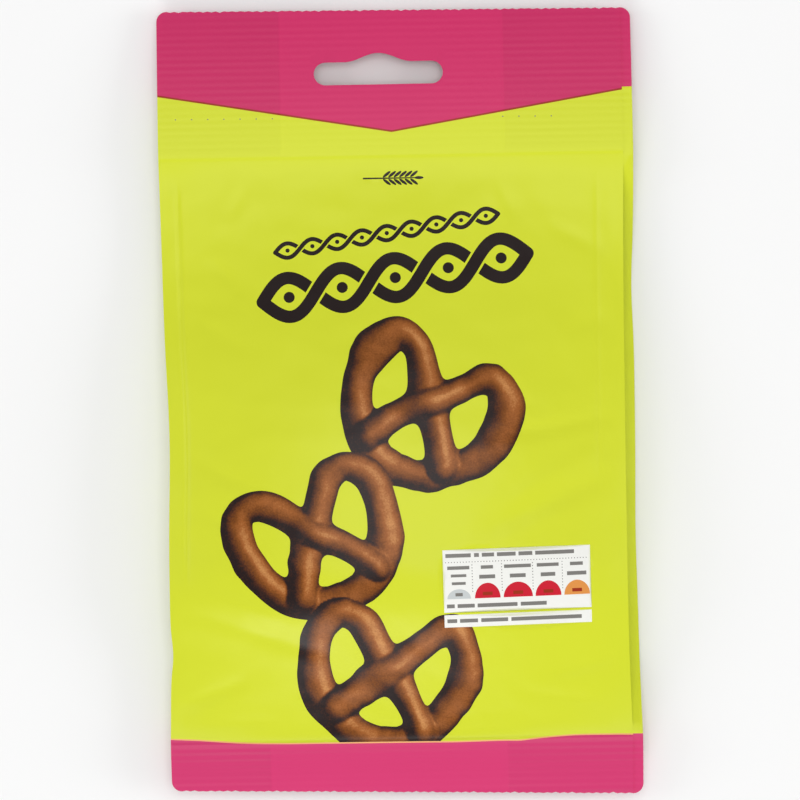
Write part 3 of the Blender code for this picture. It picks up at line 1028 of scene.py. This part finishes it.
foot_middle = smooth_curve(FOOT_PRINT_SAG, 4)
foot_line = border(FOOT_PRINT_LEFT_Y, foot_middle, FOOT_PRINT_RIGHT_Y)
foot_overlap = border(FOOT_PRINT_LEFT_Y, foot_middle, FOOT_PRINT_RIGHT_Y, -FOOT_OVERLAP)
header_line = border(PRINT_LEFT_Y, [PRINT_TIP], PRINT_RIGHT_Y)
header_overlap = border(PRINT_LEFT_Y, [PRINT_TIP], PRINT_RIGHT_Y, OVERLAP)

pleat_edges = (*HEADER_PLEATS, *FOOT_PLEATS)
step_columns = [edge + offset for edge in pleat_edges for offset in ACROSS_PLEAT_EDGE]
front_columns = np.sort(np.concatenate([np.arange(-57, 56, 2.0), step_columns]))
front_lines = rib_lines(outline_left, front_right, front_columns)

# %% Loose points of the front
seal_rows = [HEADER_SEAL - gap for gap in BESIDE_SEAL] + [FOOT_SEAL + gap for gap in BESIDE_SEAL]
body_points = []
for y in np.concatenate([body_rows, seal_rows]):
    left, right = front_left(y), front_right(y)
    middle = np.arange(math.ceil(left + 6.8), right - 8.5, 1.0)
    x = np.concatenate([left + BESIDE_LEFT, middle, right - BESIDE_RIGHT])
    body_points.append(level_row(x, y))
body_points = np.vstack(body_points)

FINE_STEP = 0.42


def above(places, line):
    """True for places over a border line that runs from left to right."""
    return places[:, 1] > np.interp(places[:, 0], line[:, 0], line[:, 1])


fine_points = []
for pretzel in pretzels:
    reach = 1.2 * pretzel.radius
    steps = np.arange(-reach, reach, FINE_STEP)
    grid_x, grid_y = np.meshgrid(steps, steps)
    grid_x[::2] += FINE_STEP / 2
    grid = grid_places(grid_x, grid_y) + pretzel.centre
    fine_points.append(grid[pretzel.covers(grid) & above(grid, foot_line)])
fine_points = np.vstack(fine_points)
print("loose points:", len(body_points), "and", len(fine_points))

# %% Fill the front
BODY_POINT_GAP, FINE_POINT_GAP = 0.36, 0.2

borders = (foot_line, header_line, foot_overlap, header_overlap)
print_lines = [joined(line, False) for line in borders]
for band in bands:
    print_lines += band.lines()
print_lines += [pretzel.outline() for pretzel in pretzels]
colour_shapes = (sprig, panel_white, panel_red, panel_orange, panel_pale)
for shapes in (*colour_shapes, panel_grey, panel_dark, panel_dots, tear_dots):
    print_lines += [joined(shape, True) for shape in shapes]

left_chain = np.column_stack([outline_left(left_rows), left_rows])
right_chain = np.column_stack([front_right(right_rows), right_rows])
front_outline = np.vstack([foot_cut[:-1], right_chain[:-1], header_cut[:-1], left_chain[::-1][:-1]])

hard_lines = [front_outline, slot_edge, *[places for places, _ in print_lines]]
sparse = clear_of(body_points, [*hard_lines, fine_points], BODY_POINT_GAP)
fine = clear_of(fine_points, hard_lines, FINE_POINT_GAP)
front_places, front_faces = fill_outline(
    front_outline, [slot_edge], [*front_lines, *print_lines], np.vstack([sparse, fine])
)
print("front panel:", len(front_places), "points and", len(front_faces), "triangles")

# %% Choose the ink of each triangle
LIME, MAGENTA, FOOT_MAGENTA, INK, CHOCOLATE, WHITE = range(6)
RED, ORANGE, PALE_GREY, GREY, OVERPRINT, PEACH = range(6, 12)


def covered(places, shapes):
    result = np.zeros(len(places), bool)
    for shape in shapes:
        result |= inside(places, shape)
    return result


middles = front_places[front_faces].mean(axis=1)
front_inks = np.full(len(middles), LIME)
for pretzel in pretzels:
    front_inks[pretzel.covers(middles)] = CHOCOLATE
for band in bands:
    front_inks[band.covers(middles)] = INK
for ink, shapes in (
    (INK, sprig),
    (WHITE, panel_white),
    (RED, panel_red),
    (ORANGE, panel_orange),
    (PALE_GREY, panel_pale),
    (GREY, panel_grey + panel_dots + tear_dots),
    (OVERPRINT, panel_dark),
):
    front_inks[covered(middles, shapes)] = ink
front_inks[above(middles, header_line)] = MAGENTA
front_inks[~above(middles, foot_line)] = FOOT_MAGENTA
front_inks[above(middles, header_line) & ~above(middles, header_overlap)] = OVERPRINT
front_inks[~above(middles, foot_line) & above(middles, foot_overlap)] = PEACH

sealed = held(front_places[:, 1] - HEADER_SEAL) + held(FOOT_SEAL - front_places[:, 1])
front_tones = 0.5 - 0.5 * sealed * (four_films(*front_places.T) - 0.5)
for pretzel in pretzels:
    near = np.nonzero(pretzel.near(front_places))[0]
    near = near[above(front_places[near] + (0.0, 0.001), foot_line)]
    chosen = near[pretzel.gap(front_places[near]) < 0.05]
    front_tones[chosen] = pretzel.tone(front_places[chosen])
print("printed faces:", int((front_inks != LIME).sum()), "of", len(front_inks))

# %% [markdown]
# ## Back panel, pleats and cut walls
#
# The back is filled the same way, with fewer points because it is plain. A pleat is a grid: each
# row runs from the outer crease inwards to the fold and back out to the inner crease. In a seal
# the fold closes up against the crease, and what stays visible is the narrow strip of the lower
# film that shows beside the front. Short walls close the cut edges and the slot.

# %% Back panel
ACROSS_FIN_EDGE = (-0.6, -0.25, 0.0, 0.25, 0.6)
BACK_POINT_GAP = 0.8

back_left_chain = np.column_stack([back_left(left_rows), left_rows])
back_right_chain = np.column_stack([outline_right(right_rows), right_rows])
back_outline = np.vstack(
    [foot_cut[:-1], back_right_chain[:-1], header_cut[:-1], back_left_chain[::-1][:-1]]
)
fin_columns = [edge + offset for edge in (FIN_LEFT, FIN_RIGHT) for offset in ACROSS_FIN_EDGE]
back_columns = np.sort(np.concatenate([np.arange(-56, 58, 4.0), fin_columns, step_columns]))
back_lines = rib_lines(back_left, outline_right, back_columns)
plain_columns = np.sort(np.concatenate([np.arange(-54, 57, 3.0), fin_columns]))
plain_rows = np.linspace(FOOT_SEAL + 1.5, HEADER_SEAL - 1.5, 60)
back_points = grid_places(*np.meshgrid(plain_columns, plain_rows))
back_header_line = np.array([
    (back_left(PRINT_LEFT_Y), PRINT_LEFT_Y),
    (-PRINT_TIP[0], PRINT_TIP[1]),
    (back_right(PRINT_RIGHT_Y), PRINT_RIGHT_Y),
])
back_foot_line = np.array([
    (back_left(FOOT_PRINT_LEFT_Y), FOOT_PRINT_LEFT_Y),
    (back_right(FOOT_PRINT_RIGHT_Y), FOOT_PRINT_RIGHT_Y),
])
back_places, back_faces = fill_outline(
    back_outline,
    [slot_edge],
    [*back_lines, joined(back_header_line, False), joined(back_foot_line, False)],
    clear_of(back_points, [back_outline], BACK_POINT_GAP),
)
middles = back_places[back_faces].mean(axis=1)
back_inks = np.full(len(middles), LIME)
back_inks[above(middles, back_header_line)] = MAGENTA
back_inks[~above(middles, back_foot_line)] = FOOT_MAGENTA
print("back panel:", len(back_faces), "triangles")

# %% Pleats
OUTER_SHARES = np.array([0.0, 0.06, 0.25, 0.5, 0.75, 1.0])
INNER_SHARES = np.array([0.75, 0.5, 0.25, 0.0])
PLEAT_BULGE, PLEAT_CRUMPLE = 1.1, 0.7
FILM_GAP, FILM_GAP_SHARE = 0.15, 0.3  # how far the fold keeps from the front and the back


def pleat_grid(right):
    """Rows of corners from the outer crease to the fold and on to the inner crease."""
    rows, inward = (right_rows, -1) if right else (left_rows, 1)
    grid = []
    for y in rows:
        at_cut = y in (rows[0], rows[-1])
        if right:
            front_x, back_x = front_right(y), outline_right(y)
        else:
            front_x = outline_left(y)
            back_x = front_x if at_cut else back_left(y)
        front_z, back_z = front_top(front_x, y)[0], back_bottom(back_x, y)
        ends = ((back_x, back_z), (front_x, front_z))
        (outer_x, outer_z), (inner_x, inner_z) = ends if right else ends[::-1]
        opened = swell(min(y - FOOT_SEAL, HEADER_SEAL - y), GUSSET_REACH)
        fold_x = inner_x + inward * GUSSET_DEPTH * opened
        fold_z = mix(film_level(y) + ribs(inner_x, y), (front_z + back_z) / 2, opened)
        crumple = noise_field(y, 0.0, 7.0, 6.0)[0] + 0.5 * noise_field(y, 0.0, 2.6, 8.0)[0]
        bulge = (PLEAT_BULGE + PLEAT_CRUMPLE * crumple) * opened * fill(y)
        puff = inward * bulge * np.sin(np.pi * OUTER_SHARES)
        climb = mix(held(OUTER_SHARES / OUTER_SHARES[1]), OUTER_SHARES, opened)
        x, z = mix(outer_x, fold_x, OUTER_SHARES), mix(outer_z, fold_z, climb) - puff
        outer = np.column_stack([x, np.full(len(x), y), z])
        puff = inward * bulge * np.sin(np.pi * INNER_SHARES)
        x, z = mix(inner_x, fold_x, INNER_SHARES), mix(inner_z, fold_z, INNER_SHARES) + puff
        inner = np.column_stack([x, np.full(len(x), y), z])
        if at_cut:
            outer[:], inner[:] = outer[0], inner[-1]
        grid.append(np.vstack([outer, inner]))
    return between_films(np.array(grid), right)


def between_films(grid, right):
    """Keep the folded film under the front and over the back, so that it can't poke through."""
    x, y, z = (grid[1:-1, 1:-1, n] for n in range(3))
    roof, ground = front_top(x, y), back_bottom(x, y)
    gap = np.minimum(FILM_GAP, FILM_GAP_SHARE * (roof - ground))
    if right:
        roof = np.where(x > front_right(y), np.inf, roof)
    else:
        ground = np.where(x < back_left(y), -np.inf, ground)
    grid[1:-1, 1:-1, 2] = np.clip(z, ground + gap, roof - gap)
    return grid


def grid_faces(grid):
    """The four corners of each face of a grid, in turn."""
    corner = np.arange(grid.shape[0] * grid.shape[1]).reshape(grid.shape[:2])
    ring = (corner[:-1, :-1], corner[:-1, 1:], corner[1:, 1:], corner[1:, :-1])
    return np.column_stack([corners.ravel() for corners in ring])


# %% Gather the sheets of the skin
skin_corners, skin_faces, skin_inks, skin_tones = [], [], [], []


def add_sheet(corners, faces, inks, tones=None):
    """Queue a sheet: corners in millimetres, faces, one ink a face, one tone a corner."""
    first = sum(len(part) for part in skin_corners)
    skin_corners.append(np.asarray(corners, float))
    skin_faces.extend([tuple(int(n) + first for n in face) for face in faces])
    skin_inks.extend(int(ink) for ink in inks)
    skin_tones.append(np.full(len(corners), 0.5) if tones is None else tones)


def with_height(places, height):
    return np.column_stack([places, height(places[:, 0], places[:, 1])])


add_sheet(with_height(front_places, front_top), front_faces, front_inks, front_tones)
add_sheet(with_height(back_places, back_bottom), back_faces[:, ::-1], back_inks)
for right in (True, False):
    grid = pleat_grid(right)
    faces = grid_faces(grid)
    corners = grid.reshape(-1, 3)
    middle = corners[faces].mean(axis=1)
    header_y = STRIP_PRINT_Y if right else PRINT_LEFT_Y
    foot_y = FOOT_PRINT_RIGHT_Y if right else FOOT_PRINT_LEFT_Y
    inks = np.full(len(faces), LIME)
    inks[middle[:, 1] > header_y] = MAGENTA
    inks[middle[:, 1] < foot_y] = FOOT_MAGENTA
    add_sheet(corners, faces if right else faces[:, ::-1], inks)
print("sheets of film:", len(skin_corners))


# %% Walls along the cut edges and round the slot
def add_wall(line, closed, ink):
    """A short wall from the front to the back along a cut line."""
    top, bottom = with_height(line, front_top), with_height(line, back_bottom)
    count = len(line)
    last = count if closed else count - 1
    faces = [(n, (n + 1) % count, count + (n + 1) % count, count + n) for n in range(last)]
    add_sheet(np.vstack([top, bottom]), faces, [ink] * len(faces))


add_wall(header_cut, False, MAGENTA)
add_wall(foot_cut, False, FOOT_MAGENTA)
add_wall(slot_edge, True, MAGENTA)
print("sheets and walls:", len(skin_corners))

# %% Weld everything into one skin
WELD_DISTANCE = 0.000005
SKIN_SHARP_ANGLE = math.radians(50)


def welded_object(mesh, sharp_angle):
    """Weld a mesh, turn its faces outwards, shade it softly and put it in the scene."""
    welding = bmesh.new()
    welding.from_mesh(mesh)
    bmesh.ops.remove_doubles(welding, verts=welding.verts, dist=WELD_DISTANCE)
    bmesh.ops.recalc_face_normals(welding, faces=welding.faces)
    open_edges = sum(len(edge.link_faces) != 2 for edge in welding.edges)
    welding.to_mesh(mesh)
    welding.free()
    piece = bpy.data.objects.new(mesh.name, mesh)
    bpy.context.scene.collection.objects.link(piece)
    mesh.shade_smooth()
    mesh.set_sharp_from_angle(angle=sharp_angle)
    print(mesh.name, "faces:", len(mesh.polygons), "open edges:", open_edges)
    return piece


bag_mesh = bpy.data.meshes.new("film_bag")
bag_mesh.from_pydata((np.vstack(skin_corners) / 1000).tolist(), [], skin_faces)
bag_mesh.polygons.foreach_set("material_index", skin_inks)
tone_layer = bag_mesh.attributes.new("print_tone", "FLOAT", "POINT")
tone_layer.data.foreach_set("value", np.concatenate(skin_tones).astype(np.float32))
bag = welded_object(bag_mesh, SKIN_SHARP_ANGLE)

# %% [markdown]
# ## Film and inks
#
# Every ink lies under the same clear glossy film, so one function makes all the materials and
# only the colour changes. Slow noise varies the ink a little, as print on film does, and the
# stored tone makes it lighter where only two films are sealed. A fine bump breaks the gloss. The
# chocolate ink reads the stored tone through a colour ramp of its own and adds fine grain, so it
# looks like coated chocolate in a picture.

# %% Nodes that the film materials share
FILM_ROUGHNESS, FILM_GLOSS = 0.40, 0.28
SHEEN = 0.018                 # light that the gloss adds to every colour in this studio


def from_screen(red, green, blue):
    """A printed colour as seen on screen, 0 to 255, as linear values without the film's sheen."""
    screen = np.array([red, green, blue]) / 255
    linear = np.where(screen <= 0.04045, screen / 12.92, ((screen + 0.055) / 1.055) ** 2.4)
    return tuple(np.maximum(linear - SHEEN, 0.001))


def add_noise(tree, scale, detail):
    place = tree.nodes.new("ShaderNodeTexCoord")
    texture = tree.nodes.new("ShaderNodeTexNoise")
    texture.inputs["Scale"].default_value = scale
    texture.inputs["Detail"].default_value = detail
    tree.links.new(place.outputs["Object"], texture.inputs["Vector"])
    return texture.outputs["Fac"]


def add_math(tree, operation, *values):
    """A Math node; each value is a number or the output that feeds it."""
    node = tree.nodes.new("ShaderNodeMath")
    node.operation = operation
    for socket, value in zip(node.inputs, values):
        if isinstance(value, float):
            socket.default_value = value
        else:
            tree.links.new(value, socket)
    return node.outputs["Value"]


def add_ramp(tree, value, stops):
    """A colour ramp whose stops are pairs of a position and a colour."""
    ramp = tree.nodes.new("ShaderNodeValToRGB")
    elements = ramp.color_ramp.elements
    while len(elements) < len(stops):
        elements.new(0.5)
    for element, (position, colour) in zip(elements, stops):
        element.position = position
        element.color = (*colour, 1)
    tree.links.new(value, ramp.inputs["Fac"])
    return ramp.outputs["Color"]


# %% Inks of the print
INKS = (  # name, colour on screen and how much it varies, in the order of the ink numbers
    ("lime_film", (213, 222, 57), 0.018),
    ("magenta_film", (206, 54, 105), 0.05),
    ("foot_magenta_film", (213, 66, 117), 0.035),
    ("dark_ink", (45, 38, 32), 0.08),
    ("chocolate_ink", (140, 85, 50), 0.05),
    ("white_ink", (241, 241, 236), 0.02),
    ("red_ink", (205, 45, 60), 0.04),
    ("orange_ink", (225, 150, 80), 0.04),
    ("pale_grey_ink", (200, 205, 205), 0.02),
    ("grey_ink", (128, 126, 122), 0.04),
    ("overprint_ink", (158, 58, 40), 0.04),
    ("peach_ink", (244, 180, 118), 0.03),
)
CHOCOLATE_STOPS = (
    (0.0, (46, 30, 14)),
    (0.2, (82, 50, 26)),
    (0.45, (127, 75, 38)),
    (0.7, (162, 98, 52)),
    (1.0, (208, 147, 90)),
)
CHOCOLATE_GRAIN = ((2400.0, 0.42), (430.0, 0.26))  # scale and strength, fine and coarse
print("inks:", len(INKS), "stops of the chocolate:", len(CHOCOLATE_STOPS))

# %% Film and ink materials
SLOW_SCALE, SLOW_SHARE = 55.0, 0.3
BUMP_SCALE, BUMP_STRENGTH, BUMP_HEIGHT = 700.0, 0.12, 0.00012


def film_material(name, colour, variation):
    material = plain_material(name, colour, FILM_ROUGHNESS)
    tree = material.node_tree
    surface = tree.nodes["Principled BSDF"]
    surface.inputs["Specular IOR Level"].default_value = FILM_GLOSS
    tone = tree.nodes.new("ShaderNodeAttribute")
    tone.attribute_name = "print_tone"
    slow = add_noise(tree, SLOW_SCALE, 2.0)
    uneven = add_math(tree, "MULTIPLY_ADD", slow, SLOW_SHARE, tone.outputs["Fac"])
    darker = [c * (1 - variation) for c in colour]
    lighter = [min(1.0, c * (1 + variation)) for c in colour]
    shade = add_ramp(tree, uneven, ((0.35, darker), (0.95, lighter)))
    tree.links.new(shade, surface.inputs["Base Color"])
    bump = tree.nodes.new("ShaderNodeBump")
    bump.inputs["Strength"].default_value = BUMP_STRENGTH
    bump.inputs["Distance"].default_value = BUMP_HEIGHT
    tree.links.new(add_noise(tree, BUMP_SCALE, 3.0), bump.inputs["Height"])
    tree.links.new(bump.outputs["Normal"], surface.inputs["Normal"])
    return material


def make_chocolate(material):
    """Swap the two shades of a film material for the browns of coated chocolate, with grain."""
    tree = material.node_tree
    tone = next(node for node in tree.nodes if node.bl_idname == "ShaderNodeAttribute")
    total = tone.outputs["Fac"]
    for scale, strength in CHOCOLATE_GRAIN:
        grain = add_noise(tree, scale, 3.0)
        shift = add_math(tree, "MULTIPLY_ADD", grain, strength, -strength / 2)
        total = add_math(tree, "ADD", total, shift)
    browns = [(position, from_screen(*colour)) for position, colour in CHOCOLATE_STOPS]
    surface = tree.nodes["Principled BSDF"]
    tree.links.new(add_ramp(tree, total, browns), surface.inputs["Base Color"])


for name, colour, variation in INKS:
    material = film_material(name, from_screen(*colour), variation)
    bag_mesh.materials.append(material)
make_chocolate(bpy.data.materials["chocolate_ink"])
print("film and inks:", len(bag_mesh.materials))
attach(bag, "root")
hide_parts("bag")

# %% [markdown]
# ## The seam under the back
#
# A tube of film is closed by a seam down its back, which lies flat to one side under the bag. The
# slot is punched through it too, so it is made as two thin closed strips, one on either side of
# the slot. Both follow the back panel a hair below it.

# %% Back seam
SEAM_GAP, SEAM_THICKNESS, SEAM_COLUMNS = 0.05, 0.18, 23
SEAM_SHARP_ANGLE = math.radians(40)
FINE_ROW_STEP, PLAIN_ROW_STEP, END_ROWS = 0.425, 1.5, 25
CUT_GAP, SLOT_RIM_GAP = 0.8, 0.2
seam_x = np.linspace(FIN_LEFT, FIN_RIGHT, SEAM_COLUMNS)
lime_seam, magenta_seam = bpy.data.materials["lime_film"], bpy.data.materials["magenta_film"]


def make_seam(name, rows_y):
    """A closed strip: each row is one ring, across the top and back along the underside."""
    rings = []
    for row_y in rows_y:
        top_z = back_bottom(np.clip(seam_x, FIN_LEFT + 0.6, FIN_RIGHT - 0.6), row_y) - SEAM_GAP
        top = np.column_stack([seam_x, row_y, top_z])
        rings.append(np.vstack([top, (top - (0, 0, SEAM_THICKNESS))[::-1]]))
    size = len(rings[0])
    faces = []
    for first in range(0, size * (len(rings) - 1), size):
        ring = np.arange(size) + first
        after = np.roll(ring, -1)
        faces += np.column_stack([ring, after, after + size, ring + size]).tolist()
    last = len(rings) * size
    faces += [tuple(range(size))[::-1], tuple(range(last - size, last))]
    mesh = bpy.data.meshes.new(name)
    mesh.from_pydata((np.vstack(rings) / 1000).tolist(), [], faces)
    for material in (lime_seam, magenta_seam):
        mesh.materials.append(material)
    for face in mesh.polygons:
        y = 1000 * face.center.y
        face.material_index = int(y > PRINT_TIP[1] or y < FOOT_PRINT_RIGHT_Y)
    strip = welded_object(mesh, SEAM_SHARP_ANGLE)
    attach(strip, "root")


long_rows = np.concatenate([
    np.arange(FOOT_EDGE + CUT_GAP, FOOT_SEAL, FINE_ROW_STEP),
    np.arange(FOOT_SEAL, HEADER_SEAL, PLAIN_ROW_STEP),
    np.arange(HEADER_SEAL, SLOT_BOTTOM - SLOT_RIM_GAP, FINE_ROW_STEP),
])
end_start = slot_top(seam_x - SLOT_CENTRE) + SLOT_RIM_GAP
end_shares = np.linspace(0, 1, END_ROWS)
make_seam("back_seam", [np.full(SEAM_COLUMNS, y) for y in long_rows])
make_seam("back_seam_end", [mix(end_start, HEADER_EDGE - CUT_GAP, share) for share in end_shares])
